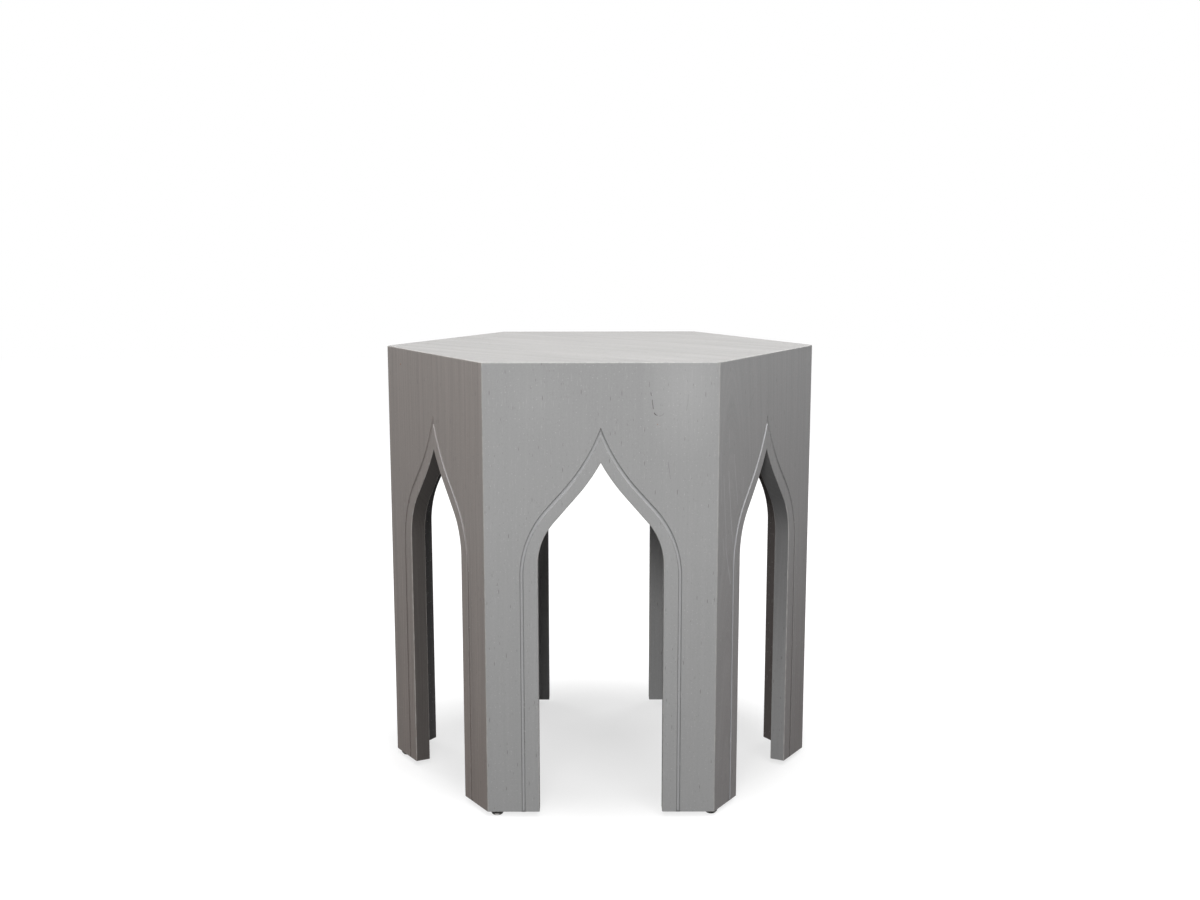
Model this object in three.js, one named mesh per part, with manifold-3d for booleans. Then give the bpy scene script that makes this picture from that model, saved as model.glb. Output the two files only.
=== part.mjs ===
// Hexagonal kursi stool in painted wood, built from mitred boards.
// Millimetres, +Z up. The origin is the middle of the hexagon on the floor, and the front panel faces -Y.

import * as THREE from 'three';
import { mergeVertices } from 'three/addons/utils/BufferGeometryUtils.js';
import Module from 'manifold-3d';

const wasm = await Module();
wasm.setup();

// Overall form: the side of the hexagon, the panels from leg end to top surface, and every board's thickness
const SIDE = 279.4;
const PANEL_HEIGHT = 554;
const BOARD = 20;

// Keel arch of each panel: opening between the legs, upright edges, rise to the apex and flank curves
const ARCH_WIDTH = 151;
const ARCH_SPRING = 310;
const ARCH_RISE = 125;
const ARCH_RAKE_DEG = 41;
const ARCH_KEEL_SWEEP_DEG = 12;
const ARCH_KEEL_RADIUS = 234;

// Routed line round the arch: its own section, and how far its middle stays from the opening
const LINE_WIDTH = 4.4;
const LINE_DEPTH = 2.4;
const LINE_BORDER = 19.6;
const LINE_SPRING_DROP = 13.3;
const LINE_APEX_BORDER = 37.4;
const LINE_RAKE_DEG = 42;
const LINE_KEEL_SWEEP_DEG = 20;
const LINE_KEEL_RADIUS = 240;

// Joinery: glue line between mitred faces, and play round a tongue, pin or plug in its hole
const GLUE_LINE = 0.3;
const FIT = 0.3;

// Loose tongues across the mitres, each set back from the outer edge along its mitre
const SPLINE_THICKNESS = 4;
const SPLINE_WIDTH = 16;
const SPLINE_CHAMFER = 0.8;
const CORNER_SPLINE_SETBACK = 15;
const CORNER_SPLINE_FROM_LEG_END = 35;
const CORNER_SPLINE_FROM_TOP = 30;
const RIM_SPLINE_SETBACK = 18;
const RIM_SPLINE_LENGTH = 190;

// Glue blocks in the inner top corners
const BLOCK_LEG = 44;
const BLOCK_HEIGHT = 76;
const BLOCK_TIP = 8;
const BLOCK_HEEL = 3;

// Pan-head screws through the blocks
const SCREW_LENGTH = 28;
const SCREW_DIAMETER = 4;
const SCREW_POINT = 5;
const SCREW_HEAD_DIAMETER = 8;
const SCREW_HEAD_HEIGHT = 3;
const SCREW_BITE = 12;

// Cushioned nail-on glides, one under each leg
const GLIDE_DIAMETER = 16;
const GLIDE_HEIGHT = 6.5;
const GLIDE_FOOT_DIAMETER = 8;
const GLIDE_FROM_CORNER = 11.5;
const CUP_HEIGHT = 5;
const CUP_WALL = 0.8;
const NAIL_DIAMETER = 2.4;
const NAIL_HEAD_DIAMETER = 6;
const NAIL_HEAD_HEIGHT = 1;
const NAIL_POINT = 3;
const NAIL_BITE = 16;

// Facet counts
const SHOULDER_STEPS = 9;
const KEEL_STEPS = 6;
const LINE_SECTION_STEPS = 6;
const GLIDE_FACETS = 20;
const DOME_STEPS = 4;
const PIN_FACETS = 12;
const HOLE_FACETS = 8;

// How far a cutter runs past the face that it cuts
const OVERRUN = 5;

// Panels in order round the hexagon, and the leg at each panel's leading edge
const PANEL_NAMES = ['front', 'front_right', 'back_right', 'back', 'back_left', 'front_left'];
const LEG_NAMES = ['front_left', 'front_right', 'right', 'back_right', 'back_left', 'left'];

// Angles and places that follow from the hexagon
const SIDES = PANEL_NAMES.length;
const TURN = (2 * Math.PI) / SIDES;
const MITRE = (Math.PI - TURN) / 2;
const RIM_MITRE = Math.PI / 4;
const APOTHEM = SIDE / (2 * Math.tan(TURN / 2));
const UNDERSIDE = PANEL_HEIGHT - BOARD;

// Half a glue line, measured along the face that the mitre meets
const CORNER_RELIEF = GLUE_LINE / (2 * Math.sin(MITRE));
const RIM_RELIEF = GLUE_LINE / (2 * Math.sin(RIM_MITRE));

const paintedWood = new THREE.MeshStandardMaterial({ color: '#9a9896', roughness: 0.55, metalness: 0 });
const birchPly = new THREE.MeshStandardMaterial({ color: '#c9a877', roughness: 0.8, metalness: 0 });
const pine = new THREE.MeshStandardMaterial({ color: '#c8ab7c', roughness: 0.8, metalness: 0 });
const zincSteel = new THREE.MeshStandardMaterial({ color: '#a9a9a4', roughness: 0.4, metalness: 1 });
const nickelSteel = new THREE.MeshStandardMaterial({ color: '#5c5a57', roughness: 0.3, metalness: 1 });
const rubber = new THREE.MeshStandardMaterial({ color: '#222120', roughness: 0.9, metalness: 0 });

// A closed geometry as a solid that can be cut
function solid(geometry) {
  const bare = new THREE.BufferGeometry();
  bare.setAttribute('position', geometry.attributes.position);
  bare.setIndex(geometry.index);
  const welded = mergeVertices(bare);
  return new wasm.Manifold(new wasm.Mesh({
    numProp: welded.attributes.position.itemSize,
    vertProperties: welded.attributes.position.array,
    triVerts: new Uint32Array(welded.index.array),
  }));
}

// A cut solid as a geometry again
function surface(cutSolid) {
  const mesh = cutSolid.getMesh();
  const geometry = new THREE.BufferGeometry();
  geometry.setAttribute('position', new THREE.BufferAttribute(mesh.vertProperties, mesh.numProp));
  geometry.setIndex(new THREE.BufferAttribute(mesh.triVerts, 1));
  geometry.computeVertexNormals();
  return geometry;
}

// An outline extruded by a length: u and v are the directions of its own axes, and the third follows
function prism(outline, length, u, v) {
  const settings = { depth: length, bevelEnabled: false };
  const geometry = new THREE.ExtrudeGeometry(new THREE.Shape(outline), settings);
  const w = new THREE.Vector3().crossVectors(u, v);
  return geometry.applyMatrix4(new THREE.Matrix4().makeBasis(u, v, w));
}

const X = new THREE.Vector3(1, 0, 0);
const Y = new THREE.Vector3(0, 1, 0);
const Z = new THREE.Vector3(0, 0, 1);
const point = (x, y) => new THREE.Vector2(x, y);

// One flank of a keel arch: an upright, a round shoulder, a straight rake and a hollow keel curve to the
// apex. The shoulder's radius is the one that lets all four run into each other.
function keelArch({ halfWidth, spring, rise, rakeDeg, sweepDeg, keelRadius }) {
  const rake = THREE.MathUtils.degToRad(rakeDeg);
  const sweep = THREE.MathUtils.degToRad(sweepDeg);
  const apexLean = rake - sweep;
  const reach = Math.sin(rake) * rise - Math.cos(rake) * halfWidth;
  const shoulderRadius = (reach - keelRadius * (1 - Math.cos(sweep))) / (1 - Math.cos(rake));
  const shoulderCentre = point(halfWidth - shoulderRadius, spring);
  const keelCentre = point(
    keelRadius * Math.cos(apexLean),
    spring + rise + keelRadius * Math.sin(apexLean),
  );
  return { halfWidth, rake, shoulderRadius, shoulderCentre, keelRadius, keelCentre };
}

// The arch's whole outline from the left foot over the apex to the right foot, moved outward by an offset
function archPoints(arch, offset, footZ) {
  const shoulder = arch.shoulderRadius + offset;
  const keel = arch.keelRadius - offset;
  const apexLean = Math.acos(arch.keelCentre.x / keel);
  const right = [point(arch.halfWidth + offset, footZ)];
  for (let i = 0; i <= SHOULDER_STEPS; i += 1) {
    const angle = (arch.rake * i) / SHOULDER_STEPS;
    const spoke = point(Math.cos(angle), Math.sin(angle));
    right.push(arch.shoulderCentre.clone().addScaledVector(spoke, shoulder));
  }
  for (let i = 0; i < KEEL_STEPS; i += 1) {
    const angle = arch.rake + ((apexLean - arch.rake) * i) / KEEL_STEPS;
    const spoke = point(Math.cos(angle), Math.sin(angle));
    right.push(arch.keelCentre.clone().addScaledVector(spoke, -keel));
  }
  const apex = point(0, arch.keelCentre.y - keel * Math.sin(apexLean));
  const left = right.map((p) => point(-p.x, p.y));
  return [...left, apex, ...right.reverse()];
}

const opening = keelArch({
  halfWidth: ARCH_WIDTH / 2,
  spring: ARCH_SPRING,
  rise: ARCH_RISE,
  rakeDeg: ARCH_RAKE_DEG,
  sweepDeg: ARCH_KEEL_SWEEP_DEG,
  keelRadius: ARCH_KEEL_RADIUS,
});

const routedLine = keelArch({
  halfWidth: ARCH_WIDTH / 2 + LINE_BORDER,
  spring: ARCH_SPRING - LINE_SPRING_DROP,
  rise: LINE_SPRING_DROP + ARCH_RISE + LINE_APEX_BORDER,
  rakeDeg: LINE_RAKE_DEG,
  sweepDeg: LINE_KEEL_SWEEP_DEG,
  keelRadius: LINE_KEEL_RADIUS,
});

// A section swept along an arch. Each point of the section runs on its own parallel arch, so the sweep is
// mitred exactly at the apex. Section points are { offset, depth }, in order round the section.
function sweepAlongArch(arch, section, footZ) {
  const rails = section.map(({ offset, depth }) => (
    archPoints(arch, offset, footZ).map((p) => new THREE.Vector3(p.x, depth, p.y))
  ));
  const stations = rails[0].length;
  const at = (rail, station) => (rail % rails.length) * stations + station;
  const index = [];
  for (let rail = 0; rail < rails.length; rail += 1) {
    for (let s = 0; s + 1 < stations; s += 1) {
      index.push(at(rail, s), at(rail + 1, s + 1), at(rail + 1, s));
      index.push(at(rail, s), at(rail, s + 1), at(rail + 1, s + 1));
    }
  }
  for (let rail = 1; rail + 1 < rails.length; rail += 1) {
    index.push(at(0, 0), at(rail, 0), at(rail + 1, 0));
    index.push(at(0, stations - 1), at(rail + 1, stations - 1), at(rail, stations - 1));
  }
  return new THREE.BufferGeometry().setFromPoints(rails.flat()).setIndex(index);
}

// Cutter for the routed line: round at the bottom, straight sides on up past the face
function routedLineCutter() {
  const radius = LINE_WIDTH / 2;
  const section = [];
  for (let i = 0; i <= LINE_SECTION_STEPS; i += 1) {
    const angle = (Math.PI * i) / LINE_SECTION_STEPS;
    const depth = LINE_DEPTH - radius + radius * Math.sin(angle);
    section.push({ offset: radius * Math.cos(angle), depth });
  }
  section.push({ offset: -radius, depth: -OVERRUN });
  section.push({ offset: radius, depth: -OVERRUN });
  return solid(sweepAlongArch(routedLine, section, -OVERRUN));
}

// A tongue's section with eased corners, grown all round by an allowance
function splineSection(allowance) {
  const x = SPLINE_THICKNESS / 2 + allowance;
  const y = SPLINE_WIDTH / 2 + allowance;
  const c = SPLINE_CHAMFER;
  return [
    point(x - c, -y), point(x, -y + c), point(x, y - c), point(x - c, y),
    point(-x + c, y), point(-x, y - c), point(-x, -y + c), point(-x + c, -y),
  ];
}

const CORNER_SPLINE_LENGTH = PANEL_HEIGHT - CORNER_SPLINE_FROM_LEG_END - CORNER_SPLINE_FROM_TOP;

// Tongue of an upright mitre, in the frame of its corner: the mitre lies along X from the outer corner
function cornerSpline(allowance) {
  const length = CORNER_SPLINE_LENGTH + 2 * allowance;
  const tongue = prism(splineSection(allowance), length, X, Y);
  return tongue.translate(CORNER_SPLINE_SETBACK, 0, CORNER_SPLINE_FROM_LEG_END - allowance);
}

// Tongue of a rim mitre, in the frame of its panel: the mitre falls inward from the top outer edge
function rimSpline(allowance) {
  const length = RIM_SPLINE_LENGTH + 2 * allowance;
  const alongMitre = new THREE.Vector3(0, Math.cos(RIM_MITRE), -Math.sin(RIM_MITRE));
  const acrossMitre = new THREE.Vector3(0, Math.sin(RIM_MITRE), Math.cos(RIM_MITRE));
  const tongue = prism(splineSection(allowance), length, alongMitre, acrossMitre);
  const middle = alongMitre.multiplyScalar(RIM_SPLINE_SETBACK);
  return tongue.translate(-length / 2, middle.y, PANEL_HEIGHT + middle.z);
}

// A round hole along +Z from the origin, with play all round a pin: its flats lie outside the round
function pinHole(pinDiameter, length) {
  const radius = (pinDiameter / 2 + FIT) / Math.cos(Math.PI / HOLE_FACETS);
  const geometry = new THREE.CylinderGeometry(radius, radius, length, HOLE_FACETS);
  return geometry.rotateX(Math.PI / 2).translate(0, 0, length / 2);
}

// Corner frame inside its panel's frame, at the panel's leading edge
function cornerMatrix() {
  return new THREE.Matrix4().makeRotationZ(MITRE).setPosition(-SIDE / 2, 0, 0);
}

// The same for the corner at the panel's other edge: X again runs inward along the mitre
function farCornerMatrix() {
  return new THREE.Matrix4().makeRotationZ(Math.PI - MITRE).setPosition(SIDE / 2, 0, 0);
}

// Screws stand square to the panel. Each is this far from the panel's middle, at one of two heights.
const SCREW_FROM_MIDDLE = SIDE / 2 - BOARD / Math.tan(MITRE) - BLOCK_LEG / 2;
const SCREW_SHANK_LENGTH = SCREW_LENGTH - SCREW_HEAD_HEIGHT;
const BLOCK_TOP = UNDERSIDE - GLUE_LINE;
const LEADING_SCREW_Z = BLOCK_TOP - BLOCK_HEIGHT / 4;
const TRAILING_SCREW_Z = BLOCK_TOP - (3 * BLOCK_HEIGHT) / 4;

// Where each screw's point rests, in its panel's frame
const SCREW_SEATS = {
  leading: new THREE.Vector3(-SCREW_FROM_MIDDLE, BOARD - SCREW_BITE, LEADING_SCREW_Z),
  trailing: new THREE.Vector3(SCREW_FROM_MIDDLE, BOARD - SCREW_BITE, TRAILING_SCREW_Z),
};

// Hole for a screw's shank, with a wider one for its head, both along the panel's depth
function screwHole(seat) {
  const shank = pinHole(SCREW_DIAMETER, SCREW_LENGTH + FIT).translate(0, 0, -FIT);
  const head = pinHole(SCREW_HEAD_DIAMETER, BLOCK_LEG).translate(0, 0, SCREW_SHANK_LENGTH - FIT);
  const [narrow, wide] = [shank, head].map((hole) => solid(hole.rotateX(-Math.PI / 2)));
  return narrow.add(wide).translate(seat.toArray());
}

// Middle of a glide in its panel's frame: beside the leading edge, in the middle of the board's thickness
function glidePlace(z) {
  return [GLIDE_FROM_CORNER - SIDE / 2, BOARD / 2, z];
}

// A board mitred at both upright edges and at the rim: its elevation, plan and side view intersected.
// The elevation gives the opening, the plan both broad faces and the upright mitres, and the side view the
// leg ends and the rim mitre. Each runs past the other two everywhere else.
function panelBlank() {
  const low = -OVERRUN;
  const high = PANEL_HEIGHT + OVERRUN;
  const wide = SIDE / 2 + OVERRUN;
  const elevation = [
    ...archPoints(opening, 0, low),
    point(wide, low),
    point(wide, high),
    point(-wide, high),
    point(-wide, low),
  ];
  const outerHalf = SIDE / 2 - CORNER_RELIEF;
  const innerHalf = outerHalf - BOARD / Math.tan(MITRE);
  const plan = [
    point(-outerHalf, 0), point(outerHalf, 0), point(innerHalf, BOARD), point(-innerHalf, BOARD),
  ];
  const back = BOARD + OVERRUN;
  const rimAtBack = PANEL_HEIGHT - RIM_RELIEF - back / Math.tan(RIM_MITRE);
  const rimAtFront = PANEL_HEIGHT - RIM_RELIEF + OVERRUN / Math.tan(RIM_MITRE);
  const sideView = [point(-OVERRUN, 0), point(back, 0), point(back, rimAtBack), point(-OVERRUN, rimAtFront)];
  const front = prism(elevation, BOARD + 2 * OVERRUN, X, Z).translate(0, back, 0);
  const above = prism(plan, high - low, X, Y).translate(0, 0, low);
  const beside = prism(sideView, 2 * wide, Y, Z).translate(-wide, 0, 0);
  return solid(front).intersect(solid(above)).intersect(solid(beside));
}

// A panel with its routed line, the slots of its three tongues and the holes for its screws and nail
function archPanel() {
  const cuts = [
    routedLineCutter(),
    solid(cornerSpline(FIT).applyMatrix4(cornerMatrix())),
    solid(cornerSpline(FIT).applyMatrix4(farCornerMatrix())),
    solid(rimSpline(FIT)),
    screwHole(SCREW_SEATS.leading),
    screwHole(SCREW_SEATS.trailing),
    solid(pinHole(NAIL_DIAMETER, OVERRUN + NAIL_BITE + FIT).translate(...glidePlace(-OVERRUN))),
  ];
  return surface(cuts.reduce((panel, cut) => panel.subtract(cut), panelBlank()));
}

// The top is a hexagonal frustum, so its rim makes the other half of the rim mitre
function topPanel() {
  const radius = (apothem) => apothem / Math.cos(TURN / 2);
  const profile = [
    point(0, UNDERSIDE),
    point(radius(APOTHEM - BOARD - RIM_RELIEF), UNDERSIDE),
    point(radius(APOTHEM - RIM_RELIEF), PANEL_HEIGHT),
    point(0, PANEL_HEIGHT),
  ];
  let board = solid(new THREE.LatheGeometry(profile, SIDES, TURN / 2).rotateX(Math.PI / 2));
  for (let k = 0; k < SIDES; k += 1) {
    board = board.subtract(solid(rimSpline(FIT).translate(0, -APOTHEM, 0).rotateZ(k * TURN)));
  }
  return surface(board);
}

// Glue block in its corner's frame, drilled for the screw of the panel on either side
function cornerBlock() {
  const faceX = Math.cos(MITRE);
  const faceY = Math.sin(MITRE);
  const tipX = BLOCK_LEG * faceX + BLOCK_TIP * faceY;
  const tipY = BLOCK_LEG * faceY - BLOCK_TIP * faceX;
  const outline = [
    point(BLOCK_HEEL * faceX, -BLOCK_HEEL * faceY),
    point(BLOCK_LEG * faceX, -BLOCK_LEG * faceY),
    point(tipX, -tipY),
    point(tipX, tipY),
    point(BLOCK_LEG * faceX, BLOCK_LEG * faceY),
    point(BLOCK_HEEL * faceX, BLOCK_HEEL * faceY),
  ];
  const innerCorner = (BOARD + GLUE_LINE) / Math.sin(MITRE);
  const block = prism(outline, BLOCK_HEIGHT, X, Y).translate(innerCorner, 0, BLOCK_TOP - BLOCK_HEIGHT);
  const ownPanel = cornerMatrix().invert();
  const nextPanel = farCornerMatrix().invert();
  const ownHole = screwHole(SCREW_SEATS.leading).transform(ownPanel.toArray());
  const nextHole = screwHole(SCREW_SEATS.trailing).transform(nextPanel.toArray());
  return surface(solid(block).subtract(ownHole).subtract(nextHole));
}

// Pan-head wood screw along +Y, its point at the origin
function screw() {
  const shank = SCREW_DIAMETER / 2;
  const head = SCREW_HEAD_DIAMETER / 2;
  const profile = [
    point(0, 0),
    point(shank, SCREW_POINT),
    point(shank, SCREW_SHANK_LENGTH),
    point(head, SCREW_SHANK_LENGTH),
    point(head, SCREW_SHANK_LENGTH + SCREW_HEAD_HEIGHT / 2),
    point((head + shank) / 2, SCREW_LENGTH),
    point(0, SCREW_LENGTH),
  ];
  return new THREE.LatheGeometry(profile, PIN_FACETS);
}

// The dome's curve from a height up to the rim, moved inward by an inset: flat foot, then a quarter oval
function domePoints(inset, fromHeight) {
  const foot = GLIDE_FOOT_DIAMETER / 2 - inset;
  const rim = GLIDE_DIAMETER / 2 - inset;
  const rise = CUP_HEIGHT - inset;
  const start = Math.acos(1 - (fromHeight - inset) / rise);
  const points = [];
  for (let i = 0; i <= DOME_STEPS; i += 1) {
    const angle = start + ((Math.PI / 2 - start) * i) / DOME_STEPS;
    points.push(point(foot + (rim - foot) * Math.sin(angle), inset + rise * (1 - Math.cos(angle))));
  }
  return points;
}

// Pressed steel cup, open at the top
function glideCap() {
  const outside = domePoints(0, 0);
  const inside = domePoints(CUP_WALL, CUP_WALL).reverse();
  return new THREE.LatheGeometry([point(0, 0), ...outside, ...inside, point(0, CUP_WALL)], GLIDE_FACETS);
}

// Rubber that fills the cup over the nail's head and stands up to the leg
function glideCushion() {
  const hole = NAIL_DIAMETER / 2 + FIT;
  const inset = CUP_WALL + FIT;
  const low = inset + NAIL_HEAD_HEIGHT + FIT;
  const top = GLIDE_HEIGHT - FIT;
  const profile = [
    point(hole, low),
    ...domePoints(inset, low),
    point(GLIDE_DIAMETER / 2 - inset, top),
    point(hole, top),
    point(hole, low),
  ];
  return new THREE.LatheGeometry(profile, GLIDE_FACETS);
}

// Nail with its flat head inside the cup and its point up in the leg
function glideNail() {
  const shank = NAIL_DIAMETER / 2;
  const length = GLIDE_HEIGHT + NAIL_BITE - CUP_WALL - FIT;
  const profile = [
    point(0, 0),
    point(NAIL_HEAD_DIAMETER / 2, 0),
    point(NAIL_HEAD_DIAMETER / 2, NAIL_HEAD_HEIGHT),
    point(shank, NAIL_HEAD_HEIGHT),
    point(shank, length - NAIL_POINT),
    point(0, length),
  ];
  return new THREE.LatheGeometry(profile, PIN_FACETS);
}

// One named piece with a material of its own
function piece(parent, name, geometry, material, place = new THREE.Vector3()) {
  const mesh = new THREE.Mesh(geometry, material.clone());
  mesh.name = name;
  mesh.position.copy(place);
  parent.add(mesh);
}

const shapes = {
  panel: archPanel(),
  rimSpline: rimSpline(0),
  cornerSpline: cornerSpline(0),
  block: cornerBlock(),
  screw: screw(),
  cap: glideCap().rotateX(Math.PI / 2),
  cushion: glideCushion().rotateX(Math.PI / 2),
  nail: glideNail().rotateX(Math.PI / 2),
};

// One sixth of the stool: a panel, the corner at its leading edge and the glide beside that corner
function addBay(stool, k) {
  const panelName = PANEL_NAMES[k];
  const legName = LEG_NAMES[k];
  const bay = new THREE.Group();
  bay.rotation.z = k * TURN;
  stool.add(bay);

  const face = new THREE.Group();
  face.position.set(0, -APOTHEM, GLIDE_HEIGHT);
  bay.add(face);
  piece(face, `arch_panel_${panelName}`, shapes.panel, paintedWood);
  piece(face, `rim_spline_${panelName}`, shapes.rimSpline, birchPly);
  piece(face, `block_screw_${panelName}_leading`, shapes.screw, zincSteel, SCREW_SEATS.leading);
  piece(face, `block_screw_${panelName}_trailing`, shapes.screw, zincSteel, SCREW_SEATS.trailing);

  const corner = new THREE.Group();
  corner.applyMatrix4(cornerMatrix());
  face.add(corner);
  piece(corner, `corner_spline_${legName}`, shapes.cornerSpline, birchPly);
  piece(corner, `corner_block_${legName}`, shapes.block, pine);

  const glide = new THREE.Group();
  glide.position.set(...glidePlace(-GLIDE_HEIGHT));
  face.add(glide);
  piece(glide, `glide_cap_${legName}`, shapes.cap, nickelSteel);
  piece(glide, `glide_cushion_${legName}`, shapes.cushion, rubber);
  const insideCup = new THREE.Vector3(0, 0, CUP_WALL + FIT);
  piece(glide, `glide_nail_${legName}`, shapes.nail, zincSteel, insideCup);
}

const stool = new THREE.Group();
stool.name = 'kursi_stool';
piece(stool, 'top_panel', topPanel(), paintedWood, new THREE.Vector3(0, 0, GLIDE_HEIGHT));
for (let k = 0; k < SIDES; k += 1) {
  addBay(stool, k);
}

export default stool;
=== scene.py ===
import math

import bmesh
import bpy
from mathutils import Matrix, Vector


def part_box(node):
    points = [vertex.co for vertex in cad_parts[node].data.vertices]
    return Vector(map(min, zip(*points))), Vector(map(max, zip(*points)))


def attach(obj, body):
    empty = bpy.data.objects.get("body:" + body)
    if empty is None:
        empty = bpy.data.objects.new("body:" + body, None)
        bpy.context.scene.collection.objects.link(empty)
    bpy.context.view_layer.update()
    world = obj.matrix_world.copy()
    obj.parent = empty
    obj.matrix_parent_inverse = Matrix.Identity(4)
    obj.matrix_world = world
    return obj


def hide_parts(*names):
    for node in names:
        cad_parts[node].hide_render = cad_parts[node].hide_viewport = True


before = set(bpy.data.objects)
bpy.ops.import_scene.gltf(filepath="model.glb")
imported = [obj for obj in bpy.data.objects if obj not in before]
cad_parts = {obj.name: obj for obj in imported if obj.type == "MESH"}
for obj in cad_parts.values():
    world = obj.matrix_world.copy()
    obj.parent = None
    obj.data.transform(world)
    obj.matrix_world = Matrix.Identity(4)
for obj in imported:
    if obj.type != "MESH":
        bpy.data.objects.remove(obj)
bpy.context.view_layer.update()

# Sizes that the frame gives
PANEL_LOW, PANEL_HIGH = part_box("arch_panel_front")
APOTHEM = -PANEL_LOW.y
BOARD = PANEL_HIGH.y - PANEL_LOW.y
LEG_END = PANEL_LOW.z
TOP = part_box("top_panel")[1].z
PANEL_HEIGHT = TOP - LEG_END
SIDES = 6
TURN = math.tau / SIDES
MITRE_SLOPE = math.tan(TURN / 2)
SIDE = 2 * APOTHEM * MITRE_SLOPE
RIM_TURN = math.pi / 4

PANEL_NAMES = ["front", "front_right", "back_right", "back", "back_left", "front_left"]
LEG_NAMES = ["front_left", "front_right", "right", "back_right", "back_left", "left"]

# What a panel's mesh marks for its paint: edges with wear and a painted highlight, the line's painted shade
# and painted light and its outward walls, the opening's cut faces, and the inner face
MARKED = ("arris", "groove_painted_shade", "groove_painted_light", "outward", "sawn", "inside")

# Keel arch of the opening and of the routed line round it
ARCH_WIDTH = 0.151
ARCH_SPRING = 0.310
ARCH_RISE = 0.125
ARCH_RAKE = math.radians(41)
ARCH_SWEEP = math.radians(12)
ARCH_KEEL_RADIUS = 0.234
LINE_WIDTH = 0.0044
LINE_DEPTH = 0.0024
LINE_BORDER = 0.0196
LINE_SPRING_DROP = 0.0133
LINE_APEX_BORDER = 0.0359
LINE_RAKE = math.radians(42)
LINE_SWEEP = math.radians(20)
LINE_KEEL_RADIUS = 0.240

# Sanded and painted edges: their radii, and what a glue line leaves open
CORNER_RADIUS = 0.0022
RIM_RADIUS = 0.0013
ARCH_RADIUS = 0.0012
ARCH_BACK_RADIUS = 0.0009
LINE_LIP_RADIUS = 0.00035
LEG_END_RADIUS = 0.0005
HAIRLINE = 0.00001

# Painted shade and light in the routed line: painted shade that gathers on the steep walls and fades up the
# rake and to the apex, painted light on its bed and outward walls, and wear with a painted highlight on its
# lips
LINE_WALL_FALLOFF = 4
LINE_HIGHLIGHT_FALLOFF = 9
LINE_RAKE_WALL_FADE = 0.6
LINE_APEX_FADE = 0.55
LINE_BED_PALE = 0.60
INNER_LIP_WEAR_AND_HIGHLIGHT = 0.8
OUTER_LIP_WEAR_AND_HIGHLIGHT = 0.2

# Steps of the curves
SHOULDER_STEPS = 36
KEEL_STEPS = 24
EASING_STEPS = 5
LEG_END_STEPS = 4
LINE_STEPS = 16
LATHE_STEPS = 48
DOME_STEPS = 10
ROLL_STEPS = 8
CROWN_STEPS = 6
BEVEL_STEPS = 3

# Angle that still shades as an edge, distance for welding CAD vertices, and slack in comparing depths
SHARP_ANGLE = math.radians(35)
WELD_DISTANCE = 1e-6
TINY = 1e-9


class KeelArch:
    """Upright, round shoulder, straight rake and hollow keel curve, each running into the next."""

    def __init__(self, half_width, spring, rise, rake, sweep, keel_radius):
        lean = rake - sweep
        reach = math.sin(rake) * rise - math.cos(rake) * half_width
        self.half_width = half_width
        self.rake = rake
        self.keel_radius = keel_radius
        self.shoulder_radius = (reach - keel_radius * (1 - math.cos(sweep))) / (1 - math.cos(rake))
        self.shoulder_centre = (half_width - self.shoulder_radius, spring)
        self.keel_centre = (keel_radius * math.cos(lean), spring + rise + keel_radius * math.sin(lean))

    def flank(self, offset):
        """Points (x, z) of the right flank from the spring up to the apex, moved outward by offset."""
        shoulder = self.shoulder_radius + offset
        keel = self.keel_radius - offset
        lean = math.acos(self.keel_centre[0] / keel)
        points = []
        for i in range(SHOULDER_STEPS + 1):
            angle = self.rake * i / SHOULDER_STEPS
            points.append((self.shoulder_centre[0] + shoulder * math.cos(angle),
                           self.shoulder_centre[1] + shoulder * math.sin(angle)))
        for i in range(KEEL_STEPS + 1):
            angle = self.rake + (lean - self.rake) * i / KEEL_STEPS
            points.append((self.keel_centre[0] - keel * math.cos(angle),
                           self.keel_centre[1] - keel * math.sin(angle)))
        points[-1] = (0.0, points[-1][1])
        return points

    def climb(self):
        """How far up each point of the flank is: 0 on the upright, 1 where the rake ends, 2 at the apex."""
        leans = [self.rake * i / SHOULDER_STEPS for i in range(SHOULDER_STEPS + 1)]
        shoulder = [math.sin(lean) / math.sin(self.rake) for lean in leans]
        return shoulder + [1 + i / KEEL_STEPS for i in range(KEEL_STEPS + 1)]


OPENING = KeelArch(ARCH_WIDTH / 2, ARCH_SPRING, ARCH_RISE, ARCH_RAKE, ARCH_SWEEP, ARCH_KEEL_RADIUS)
LINE = KeelArch(ARCH_WIDTH / 2 + LINE_BORDER, ARCH_SPRING - LINE_SPRING_DROP,
                LINE_SPRING_DROP + ARCH_RISE + LINE_APEX_BORDER, LINE_RAKE, LINE_SWEEP, LINE_KEEL_RADIUS)


def arc(centre, radius, start, end, steps):
    """(x, y, normal x, normal y) along a round edge; the angles turn from +x towards +y."""
    row = []
    for i in range(steps + 1):
        angle = start + (end - start) * i / steps
        nx, ny = math.cos(angle), math.sin(angle)
        row.append((centre[0] + radius * nx, centre[1] + radius * ny, nx, ny))
    return row


def line_section():
    """Section of the routed line about its middle: eased lip, round bottom, eased lip."""
    radius = LINE_WIDTH / 2
    middle = LINE_DEPTH - radius
    lip = LINE_LIP_RADIUS
    reach = math.sqrt((radius + lip) ** 2 - (lip - middle) ** 2)
    lean = math.atan2(lip - middle, reach)
    near = arc((-reach, lip), lip, -math.pi / 2, -lean, EASING_STEPS)
    bottom = arc((0, middle), -radius, -lean, -math.pi + lean, LINE_STEPS)[1:-1]
    far = [(-x, y, -nx, ny) for x, y, nx, ny in reversed(near)]
    return near + bottom + far


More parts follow.
